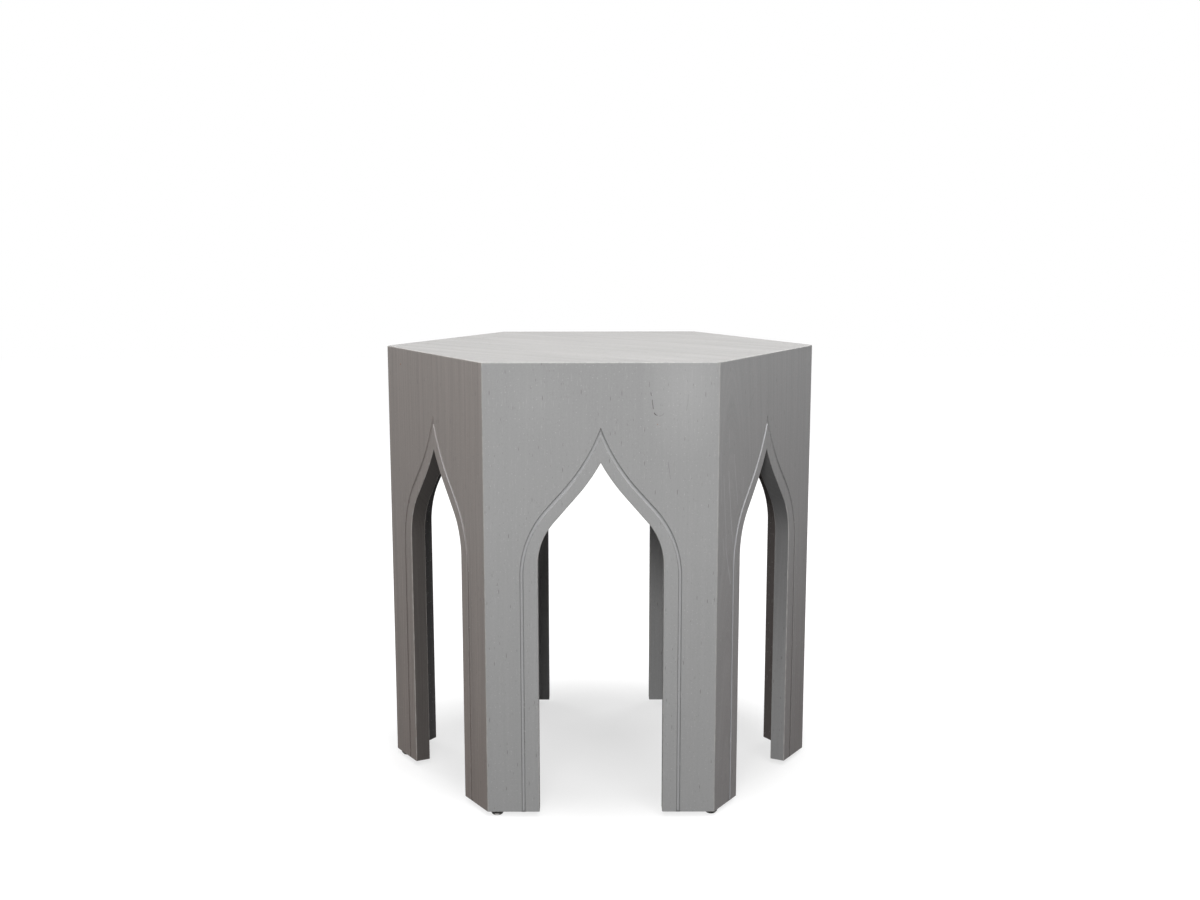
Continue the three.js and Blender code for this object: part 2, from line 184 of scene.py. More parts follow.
def frame_depths():
    """Depths of the rows that run round the panel's outer boundary, the corner's easing and the rim's."""
    corner = [CORNER_RADIUS * (1 - math.cos(TURN / 2 * i / EASING_STEPS)) for i in range(EASING_STEPS + 1)]
    rim = [RIM_RADIUS * (1 - math.cos(RIM_TURN * i / EASING_STEPS)) for i in range(1, EASING_STEPS + 1)]
    return sorted(corner + rim) + [BOARD]


# Depths at which the corner's and the rim's easings end
CORNER_EDGE = CORNER_RADIUS * (1 - math.cos(TURN / 2))
RIM_EDGE = RIM_RADIUS * (1 - math.cos(RIM_TURN))


def side_reach(depth):
    """Distance from the panel's middle to its upright edge at a depth."""
    if depth < CORNER_EDGE - TINY:
        centre = SIDE / 2 - CORNER_RADIUS * MITRE_SLOPE
        return centre + math.sqrt(CORNER_RADIUS ** 2 - (CORNER_RADIUS - depth) ** 2) - HAIRLINE
    return SIDE / 2 - depth * MITRE_SLOPE - HAIRLINE


def rim_height(depth):
    """Height of the panel's rim, mitred at 45 degrees, over its leg ends at a depth."""
    if depth < RIM_EDGE - TINY:
        centre = PANEL_HEIGHT - RIM_RADIUS
        return centre + math.sqrt(RIM_RADIUS ** 2 - (RIM_RADIUS - depth) ** 2) - HAIRLINE
    return PANEL_HEIGHT - depth - HAIRLINE


def inset_frame(depth, inset):
    """Plan point of the outer boundary at a leg end, where the end's easing draws the section in."""
    if depth < CORNER_EDGE - TINY:
        lean = math.acos(1 - depth / CORNER_RADIUS)
        centre = SIDE / 2 - CORNER_RADIUS * MITRE_SLOPE - HAIRLINE
        radius = CORNER_RADIUS - inset
        return centre + radius * math.sin(lean), CORNER_RADIUS - radius * math.cos(lean)
    start = CORNER_EDGE + inset * math.cos(TURN / 2)
    share = (depth - CORNER_EDGE) / (BOARD - CORNER_EDGE)
    moved = start + (BOARD - inset - start) * share
    return SIDE / 2 - moved * MITRE_SLOPE - HAIRLINE, moved


def rounded(steps):
    """A round edge's steps with their wear and painted highlight: none where it runs into a face, full in
    between.
    """
    last = len(steps) - 1
    return [(*step, 1.0 if 0 < i < last else 0.0, None) for i, step in enumerate(steps)]


def line_rows():
    """The routed line's steps with the wear and painted highlight on its lips and, inside it, the side that
    each step faces.
    """
    rows = []
    steps = line_section()
    for i, (offset, depth, nx, ny) in enumerate(steps):
        from_inner, from_outer = i, len(steps) - 1 - i
        wear_and_highlight = 0.0
        if 0 < from_inner < EASING_STEPS:
            wear_and_highlight = INNER_LIP_WEAR_AND_HIGHLIGHT
        elif 0 < from_outer < EASING_STEPS:
            wear_and_highlight = OUTER_LIP_WEAR_AND_HIGHLIGHT
        inside = min(from_inner, from_outer) >= EASING_STEPS
        rows.append((offset, depth, nx, ny, wear_and_highlight, nx if inside else None))
    return rows


def panel_rows():
    """The panel's rows, each running from foot over apex to foot, in order round its section.

    A row is its arch or None for the outer frame, offset, depth, normal x and y, wear with a painted
    highlight, and facing in the line.
    """
    quarter = math.pi / 2
    front = arc((ARCH_RADIUS, ARCH_RADIUS), ARCH_RADIUS, -math.pi, -quarter, EASING_STEPS)
    back_centre = (ARCH_BACK_RADIUS, BOARD - ARCH_BACK_RADIUS)
    back = arc(back_centre, ARCH_BACK_RADIUS, quarter, math.pi, EASING_STEPS)
    rows = [(OPENING, *step) for step in rounded(front)]
    rows += [(LINE, *step) for step in line_rows()]
    for depth in frame_depths():
        wear_and_highlight = 1.0 if 0 < depth <= CORNER_EDGE + TINY else 0.0
        rows.append((None, 0, depth, 0, 0, wear_and_highlight, None))
    rows += [(OPENING, *step) for step in rounded(back)]
    return rows


def line_light_and_shade(facing, climb):
    """Shares of painted shade on steep walls, painted light on bed and upper walls, painted highlight on
    outward walls.
    """
    if facing is None:
        return 0.0, 0.0, 0.0
    fade = 1 - LINE_APEX_FADE * max(climb - 1, 0)
    lean = min(climb, 1)
    bed = LINE_BED_PALE * (1 - abs(facing)) * fade
    wall = abs(facing) ** LINE_WALL_FALLOFF * fade
    if facing < 0:
        return wall * (1 - LINE_RAKE_WALL_FADE * lean), bed, 0.0
    return wall * (1 - lean), bed + facing * lean * fade, facing ** LINE_HIGHLIGHT_FALLOFF


def leg_end_levels():
    """(height, inset) of the stations that ease a leg end."""
    levels = []
    for i in range(LEG_END_STEPS + 1):
        angle = math.pi / 2 * i / LEG_END_STEPS
        levels.append((LEG_END_RADIUS * (1 - math.cos(angle)), LEG_END_RADIUS * (1 - math.sin(angle))))
    return levels


def row_points(arch, offset, depth, nx, ny):
    """One row's points (x, y, z) from the right foot to the apex."""
    points = []
    for height, inset in leg_end_levels():
        if arch is None:
            x, y = inset_frame(depth, inset)
        else:
            x, y = arch.half_width + offset - inset * nx, depth - inset * ny
        points.append((x, y, height))
    if arch is not None:
        return points + [(x, depth, z) for x, z in arch.flank(offset)]
    reach, rim = side_reach(depth), rim_height(depth)
    for i in range(SHOULDER_STEPS + 1):
        points.append((reach, depth, ARCH_SPRING + (rim - ARCH_SPRING) * i / SHOULDER_STEPS))
    for i in range(KEEL_STEPS + 1):
        share = (i + 1) / (KEEL_STEPS + 1)
        points.append((reach * (1 - share), depth, rim))
    return points


def panel_mesh():
    """The panel as rows of quads closed round its section, with a cap at each leg end."""
    mesh = bmesh.new()
    arris, groove_painted_shade, groove_painted_light, outward, sawn, inside = [mesh.verts.layers.float.new(name) for name in MARKED]
    upright = [0.0] * (LEG_END_STEPS + 1)
    right_climb = upright + LINE.climb()
    climb = right_climb[:-1] + right_climb[::-1]
    grid = []
    for arch, offset, depth, nx, ny, wear_and_highlight, facing in panel_rows():
        right = row_points(arch, offset, depth, nx, ny)
        left = [(-x, y, z) for x, y, z in right[:-1]]
        line = [mesh.verts.new(p) for p in left + right[::-1]]
        for i, vertex in enumerate(line):
            from_end = min(i, len(line) - 1 - i)
            vertex[arris] = max(wear_and_highlight, 1.0 if 0 < from_end < LEG_END_STEPS else 0.0)
            vertex[groove_painted_shade], vertex[groove_painted_light], vertex[outward] = line_light_and_shade(facing, climb[i])
            vertex[inside] = 1.0 if depth > BOARD - TINY else 0.0
        grid.append(line)
    for vertex in grid[0] + grid[-1]:
        vertex[sawn] = 1.0
    for a, b in zip(grid, grid[1:] + grid[:1]):
        for i in range(len(a) - 1):
            mesh.faces.new((a[i], a[i + 1], b[i + 1], b[i]))
    mesh.faces.new([row[0] for row in grid])
    mesh.faces.new([row[-1] for row in reversed(grid)])
    return mesh


def skin(mesh, rings):
    """Quads between closed rings of the same count."""
    for a, b in zip(rings, rings[1:]):
        for i in range(len(a)):
            n = (i + 1) % len(a)
            mesh.faces.new((a[i], a[n], b[n], b[i]))


def top_mesh():
    """Hexagonal board with the upper half of the eased rim and its mitre."""
    mesh = bmesh.new()
    arris = mesh.verts.layers.float.new("arris")
    levels = []
    for i in range(EASING_STEPS + 1):
        angle = math.pi / 2 - RIM_TURN * i / EASING_STEPS
        inset = RIM_RADIUS * (1 - math.cos(angle))
        drop = RIM_RADIUS * (1 - math.sin(angle))
        levels.append((APOTHEM - inset, TOP - drop))
    levels.append((APOTHEM - BOARD, TOP - BOARD))
    rings = []
    for i, (apothem, height) in enumerate(levels):
        radius = apothem / math.cos(TURN / 2)
        ring = [mesh.verts.new((radius * math.cos(k * TURN), radius * math.sin(k * TURN), height))
                for k in range(SIDES)]
        for vertex in ring:
            vertex[arris] = 1.0 if 0 < i <= EASING_STEPS else 0.0
        rings.append(ring)
    mesh.faces.new(rings[0])
    mesh.faces.new(rings[-1][::-1])
    skin(mesh, rings)
    return mesh


def lathe(profile):
    """Closed solid of revolution round +Z, from points (radius, z) that run up its outside."""
    mesh = bmesh.new()
    rings = []
    for radius, z in profile:
        count = 1 if radius == 0 else LATHE_STEPS
        angles = [math.tau * i / LATHE_STEPS for i in range(count)]
        ring = [(radius * math.cos(a), radius * math.sin(a), z) for a in angles]
        rings.append([mesh.verts.new(point) for point in ring])
    closing = [] if len(rings[0]) == 1 else [(rings[-1], rings[0])]
    for a, b in list(zip(rings, rings[1:])) + closing:
        for i in range(LATHE_STEPS):
            n = (i + 1) % LATHE_STEPS
            corners = [a[i % len(a)], a[n % len(a)], b[n % len(b)], b[i % len(b)]]
            mesh.faces.new(list(dict.fromkeys(corners)))
    return mesh


def tapered(outline, levels):
    """Closed solid from one outline at several levels (z, scale of x and y)."""
    mesh = bmesh.new()
    rings = []
    for z, scale in levels:
        rings.append([mesh.verts.new((x * scale, y * scale, z)) for x, y in outline])
    mesh.faces.new(rings[0][::-1])
    mesh.faces.new(rings[-1])
    skin(mesh, rings)
    return mesh


def finished(mesh, name):
    """A bmesh as a mesh whose faces point out."""
    bmesh.ops.recalc_face_normals(mesh, faces=mesh.faces)
    data = bpy.data.meshes.new(name)
    mesh.to_mesh(data)
    mesh.free()
    return data


def joined(meshes):
    """Several bmeshes as one."""
    whole = bmesh.new()
    for mesh in meshes:
        data = finished(mesh, "part")
        whole.from_mesh(data)
        bpy.data.meshes.remove(data)
    return whole


def moved(mesh, matrix):
    """A bmesh after a transform."""
    mesh.transform(matrix)
    return mesh


def add_object(name, data):
    """A new object in the scene."""
    item = bpy.data.objects.new(name, data)
    bpy.context.scene.collection.objects.link(item)
    return item


def cut(data, cutter):
    """A mesh with a bmesh taken out of it."""
    blank = add_object("blank", data)
    tool = add_object("tool", finished(cutter, "tool"))
    boolean = blank.modifiers.new("cut", "BOOLEAN")
    boolean.operation = "DIFFERENCE"
    boolean.solver = "EXACT"
    boolean.object = tool
    graph = bpy.context.evaluated_depsgraph_get()
    result = bpy.data.meshes.new_from_object(blank.evaluated_get(graph))
    for item in (blank, tool):
        mesh = item.data
        bpy.data.objects.remove(item)
        bpy.data.meshes.remove(mesh)
    return result


def grown_node(node, matrix, play):
    """A CAD node's welded mesh in another frame, grown by the play round it."""
    mesh = bmesh.new()
    mesh.from_mesh(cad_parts[node].data)
    bmesh.ops.remove_doubles(mesh, verts=mesh.verts, dist=WELD_DISTANCE)
    mesh.transform(matrix)
    mesh.normal_update()
    for vertex in mesh.verts:
        vertex.co += vertex.normal * play
    return mesh


def smooth(piece):
    """Soft shading over the eased edges, with the broad faces kept flat."""
    for polygon in piece.data.polygons:
        polygon.use_smooth = True
    with bpy.context.temp_override(object=piece, active_object=piece, selected_editable_objects=[piece]):
        bpy.ops.object.shade_smooth_by_angle(angle=SHARP_ANGLE)
    weighted = piece.modifiers.new("flat_faces", "WEIGHTED_NORMAL")
    weighted.keep_sharp = True


def feed(tree, socket, value):
    """Link a node's output to a socket, or set the socket's own value."""
    if isinstance(value, bpy.types.NodeSocket):
        tree.links.new(value, socket)
    else:
        socket.default_value = value


def add_node(tree, kind, inputs=None, **settings):
    """A new shader node with its settings and inputs."""
    node = tree.nodes.new("ShaderNode" + kind)
    for name, value in settings.items():
        setattr(node, name, value)
    for socket, value in (inputs or {}).items():
        feed(tree, node.inputs[socket], value)
    return node


# Dashes: the smallest against the largest, and where their soft edge starts
SMALLEST_DASH = 0.45
DASH_CORE = 0.6

# Drawn marks: the shiver's scale and reach, their solid core, and how deep their face goes
SHIVER_SCALE = 350.0
SHIVER = 0.0012
STROKE_CORE = 0.5
FACE_DEPTH = 0.0005


class Recipe:
    """The nodes of one procedural material."""

    def __init__(self, name, **sockets):
        self.material = bpy.data.materials.new(name)
        self.material.use_nodes = True
        self.tree = self.material.node_tree
        self.shader = self.tree.nodes["Principled BSDF"]
        self.place = self.node("TexCoord").outputs["Object"]
        for socket, value in sockets.items():
            self.surface(socket.replace("_", " "), value)

    def surface(self, socket, value):
        """Feed one of the shader's own sockets."""
        feed(self.tree, self.shader.inputs[socket], value)

    def node(self, kind, inputs=None, **settings):
        return add_node(self.tree, kind, inputs, **settings)

    def math(self, operation, a, b=0.0, clamp=False):
        return self.node("Math", {0: a, 1: b}, operation=operation, use_clamp=clamp).outputs[0]

    def plus(self, a, b):
        return self.math("ADD", a, b)

    def minus(self, a, b):
        return self.math("SUBTRACT", a, b)

    def times(self, a, b):
        return self.math("MULTIPLY", a, b)

    def rest(self, share):
        """What a share leaves of 1."""
        return self.minus(1.0, share)

    def hypotenuse(self, a, b):
        return self.math("SQRT", self.plus(self.times(a, a), self.times(b, b)))

    def total(self, *terms):
        """Sum of value times weight over (value, weight) pairs."""
        result = 0.0
        for value, weight in terms:
            result = self.plus(self.times(value, weight), result)
        return result

    def vector(self, operation, a, b, output=0):
        return self.node("VectorMath", {0: a, 1: b}, operation=operation).outputs[output]

    def scaled(self, vector, factor):
        return self.node("VectorMath", {0: vector, "Scale": factor}, operation="SCALE").outputs[0]

    def length(self, vector):
        return self.node("VectorMath", {0: vector}, operation="LENGTH").outputs["Value"]

    def away_from(self, middle, scale):
        """Distance from a point, with each axis scaled."""
        away = self.vector("SUBTRACT", self.place, middle)
        return self.length(self.vector("MULTIPLY", away, scale))

    def axes(self, vector=None):
        return self.node("SeparateXYZ", {0: vector or self.place}).outputs

    def point(self, x, y=0.0, z=0.0):
        return self.node("CombineXYZ", {0: x, 1: y, 2: z}).outputs[0]

    def attribute(self, name):
        return self.node("Attribute", attribute_name=name).outputs["Fac"]

    def noise(self, vector, scale, detail=2.0, roughness=0.5):
        spread = self.vector("MULTIPLY", vector, scale)
        inputs = {"Vector": spread, "Scale": 1.0, "Detail": detail, "Roughness": roughness}
        return self.node("TexNoise", inputs).outputs[0]

    def ramp(self, value, low, high, start=0.0, end=1.0):
        """value taken from low..high to start..end, and held at both ends."""
        inputs = {"Value": value, "From Min": low, "From Max": high, "To Min": start, "To Max": end}
        return self.node("MapRange", inputs).outputs[0]

    def mix(self, factor, a, b):
        return self.node("MixRGB", {"Fac": factor, "Color1": a, "Color2": b}).outputs[0]

    def tinted(self, shade, share, gain):
        """A shade whose colours take a gain where the share is full."""
        return self.vector("MULTIPLY", shade, self.mix(share, WHITE, (*gain, 1)))

    def dashes(self, plane, cell, half, share):
        """Short dashes lying along the grain, one in a share of the cells; sizes are across and along."""
        spread = self.vector("MULTIPLY", plane, (1 / cell[0], 1 / cell[1], 1))
        cells = self.node("TexVoronoi", {"Vector": spread, "Scale": 1.0}, voronoi_dimensions="2D")
        away = self.vector("SUBTRACT", spread, cells.outputs["Position"])
        distance = self.length(self.vector("MULTIPLY", away, (cell[0] / half[0], cell[1] / half[1], 0)))
        chance = self.axes(cells.outputs["Color"])
        kept = self.math("LESS_THAN", chance[0], share)
        size = self.ramp(chance[1], 0, 1, SMALLEST_DASH, 1.0)
        dash = self.ramp(self.math("DIVIDE", distance, size), DASH_CORE, 1.0, 1.0, 0.0)
        return self.times(dash, kept)

    def stroke(self, points, width):
        """A thin mark along points (x, z) on the panel's outer face."""
        x, y, z = self.axes()
        flat = self.point(x, z=z)
        shiver = self.node("TexNoise", {"Vector": flat, "Scale": SHIVER_SCALE}).outputs[1]
        shift = self.vector("SUBTRACT", shiver, (0.5, 0.5, 0.5))
        flat = self.vector("ADD", flat, self.vector("MULTIPLY", shift, (SHIVER, 0, SHIVER)))
        nearest = 1.0
        for (x0, z0), (x1, z1) in zip(points, points[1:]):
            run = (x1 - x0, 0, z1 - z0)
            squared = run[0] ** 2 + run[2] ** 2
            start = self.vector("SUBTRACT", flat, (x0, 0, z0))
            along = self.math("DIVIDE", self.vector("DOT_PRODUCT", start, run, 1), squared, clamp=True)
            gap = self.length(self.vector("SUBTRACT", start, self.scaled(run, along)))
            nearest = self.math("MINIMUM", gap, nearest)
        on_face = self.math("LESS_THAN", y, FACE_DEPTH)
        return self.times(self.ramp(nearest, width * STROKE_CORE, width, 1.0, 0.0), on_face)

    def finished(self, colour, roughness, height, depth):
        """The material with its colour, its roughness and a relief of some depth."""
        bump = self.node("Bump", {"Height": height, "Strength": 1.0, "Distance": depth})
        self.surface("Base Color", colour)
        self.surface("Roughness", roughness)
        self.surface("Normal", bump.outputs[0])
        return self.material


# Colours of the paint and of what shows through it or lies on it
WHITE = (1, 1, 1, 1)
PAINT = 0.375
PAINT_SHEEN = 0.18
PORE = (0.13, 0.12, 0.11, 1)
SPECK = (0.56, 0.56, 0.555, 1)
# Wear on the eased edges, partly a painted highlight
WORN_AND_HIGHLIGHT = (0.52, 0.51, 0.49, 1)
# Painted light in the routed line: pale on its bed and upward walls, bluish white on its outward walls
LEDGE_PAINTED_LIGHT = (0.56, 0.565, 0.58, 1)
LEDGE_PAINTED_HIGHLIGHT = (0.72, 0.75, 0.80, 1)
STREAK = (0.60, 0.60, 0.62, 1)
CRACK = (0.07, 0.06, 0.055, 1)
STAIN = (0.36, 0.14, 0.05, 1)

# Noises of the paint: scale per metre across and along the grain or in space, detail and roughness
WANDER_NOISE = ((7, 7, 3), 1.0, 0.5)
BROAD_NOISE = ((6, 6, 4), 2.0, 0.5)
FIBRE_NOISE = ((1500, 22, 1), 2.0, 0.6)
STIPPLE_NOISE = ((900, 900, 900), 2.0, 0.5)
MOTTLE_NOISE = ((420, 420, 420), 3.0, 0.7)
WEAR_AND_HIGHLIGHT_NOISE = ((160, 160, 60), 3.0, 0.6)
PLAIN_BANDS = ((260, 2.5, 1), 3.0, 0.6)
LEFT_BANDS = ((380, 2.5, 1), 3.0, 0.6)
TOP_BANDS = ((64, 3.5, 1), 3.0, 0.6)

# Dashes of the paint: the cell that one lies in and its half size, both across and along the grain
PORE_DASH = ((0.0070, 0.040), (0.00034, 0.0038))
FINE_PORE_DASH = ((0.0026, 0.014), (0.00026, 0.0016))
SPECK_DASH = ((0.0050, 0.0080), (0.00075, 0.0009))
STROKE_DASH = ((0.0034, 0.030), (0.00050, 0.0050))
FINE_PORE_SHARE = 0.8

# Weight of each layer in the paint's level; the fibres' grows with the streaks
BROAD_WEIGHT = 0.10
FIBRE_WEIGHT = 0.06
FIBRE_WEIGHT_PER_STREAK = 0.35
STIPPLE_WEIGHT = 0.06
MOTTLE_WEIGHT = 0.20

# How strongly pores, specks, the line's painted shade, and wear with a painted highlight cover the paint
PORE_COVER = 0.75
FINE_PORE_COVER = 0.40
SPECK_COVER = 0.55
STROKE_COVER = 0.26
GROOVE_PAINTED_SHADE = 0.42
WEAR_AND_HIGHLIGHT_LOW, WEAR_AND_HIGHLIGHT_HIGH = 0.44, 0.62
WEAR_AND_HIGHLIGHT_COVER = (0.15, 0.75)

# How far the grain slants through the board and wanders, and how deep the relief is
SKEW = 0.7
GRAIN_WANDER = 0.012
PAINT_RELIEF = 0.00012

# Heights on the legs between which the painted shade of a cut face turns
CUT_LIT_LOW, CUT_LIT_HIGH = 0.10, 0.34


def painted_wood(name, tint, pith, streaks, pores, specks, marks=(), painted_light=(), painted_ledge_light=(0.58, 0.0, 0.0),
                 bands=PLAIN_BANDS, cut_painted_shade=(0.50, 0.50), inside_painted_shade=(1, 1, 1),
                 grain_axis=2, grain_turn=0.0, painted_light_front_to_back=None):
    """Satin grey paint through which the veneer's grain and pores show.

    pith gives the log's middle under the face: its x, its depth and how fast the depth grows along the grain.
    painted_ledge_light gives the share of painted light in the line's bed, and of painted highlight on its
    outward walls where they rake and where they stand upright. cut_painted_shade gives the painted shade of
    the opening's cut faces low and high on the legs, inside_painted_shade the gain of each colour on the
    inner face as painted shade, and painted_light_front_to_back the painted light's level at either end.
    """
    r = Recipe(name, Specular_IOR_Level=PAINT_SHEEN)
    from_front = r.axes()[1]
    if grain_turn:
        turned = r.node("Mapping", {"Vector": r.place, "Rotation": (0, 0, -grain_turn)})
        r.place = turned.outputs[0]

    # The veneer's grain in rings round the pith, and the board's own plane for the pores
    axes = r.axes()
    along = axes[grain_axis]
    across = axes[0] if grain_axis == 1 else r.plus(axes[0], r.times(axes[1], SKEW))
    wander = r.times(r.noise(r.place, *WANDER_NOISE), GRAIN_WANDER)
    pith_across, pith_depth, pith_growth = pith
    depth = r.plus(r.times(along, pith_growth), pith_depth)
    ring = r.hypotenuse(r.minus(across, pith_across), depth)
    veneer = r.point(r.plus(ring, wander), along)
    board = r.point(r.plus(across, wander), along)

    # Layers of the paint
    broad = r.noise(r.place, *BROAD_NOISE)
    banding = r.noise(veneer, *bands)
    fibres = r.noise(veneer, *FIBRE_NOISE)
    stipple = r.noise(r.place, *STIPPLE_NOISE)
    mottle = r.noise(r.place, *MOTTLE_NOISE)
    dark = r.dashes(board, *PORE_DASH, pores)
    fine = r.dashes(board, *FINE_PORE_DASH, pores * FINE_PORE_SHARE)
    light = r.dashes(board, *SPECK_DASH, specks)
    strokes = r.dashes(board, *STROKE_DASH, specks)

    # Places that the mesh marks
    arris, groove_painted_shade, groove_painted_light, outward, sawn, inside = [r.attribute(name) for name in MARKED]
    on_face = r.rest(sawn)

    # Level of the paint, 1 on average, with painted shade on the cut faces and on the line's steep walls
    fibre_weight = FIBRE_WEIGHT + FIBRE_WEIGHT_PER_STREAK * streaks
    layers = [(broad, BROAD_WEIGHT), (banding, streaks), (fibres, fibre_weight)]
    layers += [(stipple, STIPPLE_WEIGHT), (mottle, MOTTLE_WEIGHT)]
    level = r.plus(r.total(*layers), 1 - sum(weight for layer, weight in layers) / 2)
    # Painted shade on the opening's cut faces, turning with height on the legs
    in_cut = r.rest(r.ramp(along, CUT_LIT_LOW, CUT_LIT_HIGH, *cut_painted_shade))
    level = r.times(level, r.rest(r.times(sawn, in_cut)))
    # Painted shade on the line's steep walls
    level = r.times(level, r.ramp(groove_painted_shade, 0, 1, 1.0, GROOVE_PAINTED_SHADE))
    # Painted light on the top, brighter from front to back
    if painted_light_front_to_back:
        level = r.times(level, r.ramp(from_front, -APOTHEM, APOTHEM, *painted_light_front_to_back))

    # Colour, from the paint itself to what lies on it, with painted light and shade laid over it
    # The board's tint, which also carries painted light
    shade = r.scaled([PAINT * t for t in tint], level)
    # Painted shade on the inner face, a gain of each colour
    shade = r.tinted(shade, inside, inside_painted_shade)
    # Painted light and shade in broad patches on the faces
    for (x, z), (reach_x, reach_z), gain in painted_light:
        distance = r.away_from((x, 0, z), (1 / reach_x, 0, 1 / reach_z))
        share = r.times(r.ramp(distance, 0, 1, 1, 0), on_face)
        shade = r.tinted(shade, share, gain)
    bed_pale, raked_highlight, upright_highlight = painted_ledge_light
    pale = r.times(r.total((light, SPECK_COVER), (strokes, STROKE_COVER)), on_face)
    # Painted highlight on the line's outward walls
    wall_highlight = r.times(outward, r.ramp(groove_painted_light, 0, 1, upright_highlight, raked_highlight))
    # Wear on the eased edges and the line's lips, partly a painted highlight
    worn_and_highlighted = r.times(arris, r.ramp(r.noise(r.place, *WEAR_AND_HIGHLIGHT_NOISE), WEAR_AND_HIGHLIGHT_LOW, WEAR_AND_HIGHLIGHT_HIGH, *WEAR_AND_HIGHLIGHT_COVER))
    colour = r.mix(pale, shade, SPECK)
    # Painted light on the line's bed and upward walls
    colour = r.mix(r.times(groove_painted_light, bed_pale), colour, LEDGE_PAINTED_LIGHT)
    colour = r.mix(wall_highlight, colour, LEDGE_PAINTED_HIGHLIGHT)
    colour = r.mix(r.times(fine, FINE_PORE_COVER), colour, PORE)
    colour = r.mix(r.times(dark, PORE_COVER), colour, PORE)
    colour = r.mix(worn_and_highlighted, colour, WORN_AND_HIGHLIGHT)
    sunk = r.total((dark, 1.0), (fine, 0.5))
    for points, width, strength, stain in marks:
        mark = r.times(r.stroke(points, width), strength)
        colour = r.mix(mark, colour, stain)
        sunk = r.plus(sunk, mark)

    roughness = r.total((fibres, 0.12), (broad, 0.10), (r.rest(arris), 0.14), (1.0, 0.42))
    height = r.total((banding, 0.35), (fibres, 0.45), (stipple, 0.30), (light, 0.25), (sunk, -1.4))
    return r.finished(colour, roughness, height, PAINT_RELIEF)


# Raw pine and plywood
RAW_WOOD_SHEEN = 0.3
PINE_PITH = (0.012, 0.055)
PINE_WANDER = 0.006
PINE_RINGS = 330.0
PINE_EARLY = (0.62, 0.44, 0.235, 1)
PINE_LATE = (0.45, 0.255, 0.105, 1)
PINE_FIBRE = (0.36, 0.21, 0.10, 1)
PINE_RELIEF = 0.00018


def sawn_pine(name):
    """Raw softwood with rings round a pith outside the block, and saw marks across its faces."""
    r = Recipe(name, Specular_IOR_Level=RAW_WOOD_SHEEN)
    axes = r.axes()
    wander = r.noise(r.place, scale=(30, 30, 6))
    ring = r.hypotenuse(r.minus(axes[0], PINE_PITH[0]), r.minus(axes[1], PINE_PITH[1]))
    ring = r.plus(ring, r.times(wander, PINE_WANDER))
    late = r.math("FRACT", r.times(ring, PINE_RINGS))
    late = r.times(late, late)
    fibres = r.noise(r.place, scale=(1200, 1200, 40), roughness=0.6)
    saw = r.noise(r.place, scale=(60, 60, 1100), roughness=0.7)
    colour = r.mix(late, PINE_EARLY, PINE_LATE)
    colour = r.mix(r.ramp(fibres, low=0.3, high=0.75, end=0.30), colour, PINE_FIBRE)
    roughness = r.total((fibres, 0.15), (1.0, 0.62))
    height = r.total((saw, 0.6), (fibres, 0.5), (late, 0.2))
    return r.finished(colour, roughness, height, PINE_RELIEF)


PLY_SKEW = 0.577
PLY_WANDER = 0.0006
PLIES = 750.0
PLY_LIGHT = (0.66, 0.50, 0.31, 1)
PLY_DARK = (0.52, 0.36, 0.20, 1)
PLY_FIBRE = (0.42, 0.28, 0.15, 1)
PLY_GLUE = (0.16, 0.09, 0.05, 1)
PLY_RELIEF = 0.00012


def birch_ply(name):
    """Thin birch plies with darker glue between them, cut into a tongue."""
    r = Recipe(name, Specular_IOR_Level=RAW_WOOD_SHEEN)
    axes = r.axes()
    across = r.plus(axes[0], r.times(axes[1], PLY_SKEW))
    wander = r.noise(r.place, scale=(40, 40, 5))
    layer = r.math("FRACT", r.times(r.plus(across, r.times(wander, PLY_WANDER)), PLIES))
    glue = r.ramp(layer, low=0.86, high=0.96)
    odd = r.math("FRACT", r.times(r.math("FLOOR", r.times(across, PLIES)), 0.5))
    fibres = r.noise(r.place, scale=(900, 900, 50), roughness=0.6)
    colour = r.mix(r.times(odd, 1.2), PLY_LIGHT, PLY_DARK)
    colour = r.mix(r.ramp(fibres, low=0.3, high=0.8, end=0.35), colour, PLY_FIBRE)
    colour = r.mix(glue, colour, PLY_GLUE)
    roughness = r.total((fibres, 0.2), (1.0, 0.6))
    height = r.total((fibres, 0.6), (glue, -0.5))
    return r.finished(colour, roughness, height, PLY_RELIEF)


METAL_RELIEF = 0.00002


def metal(name, tint, rough, grain, grain_scale, glint=None):
    """Plated steel: cloudy plating, fine scratches, duller spots, and a painted highlight spot (height,
    reach, tint).
    """
    r = Recipe(name, Metallic=1.0)
    cloud = r.noise(r.place, scale=(220, 220, 220), detail=3.0, roughness=0.6)
    scratch = r.noise(r.place, scale=grain_scale, roughness=0.7)
    spots = r.noise(r.place, scale=(900, 900, 900))
    shade = r.scaled(tint, r.total((cloud, 0.22), (spots, 0.10), (1.0, 0.84)))
    # Painted highlight: a lighter spot that stands in for a reflection
    if glint:
        height, (reach_x, reach_y, reach_z), glint_tint = glint
        distance = r.away_from((0, -reach_y, height), (1 / reach_x, 1 / reach_y, 1 / reach_z))
        distance = r.plus(distance, r.times(cloud, 0.2))
        shade = r.mix(r.ramp(distance, low=0.8, high=1.2, start=1, end=0), shade, glint_tint)
    roughness = r.total((cloud, 0.16), (scratch, 0.14), (1.0, rough))
    height = r.total((scratch, grain), (spots, 0.3))
    return r.finished(shade, roughness, height, METAL_RELIEF)


RUBBER_SHEEN = 0.35
RUBBER_COLOUR = (0.022, 0.022, 0.021, 1)
DIRT_COLOUR = (0.11, 0.10, 0.09, 1)
RUBBER_RELIEF = 0.00003


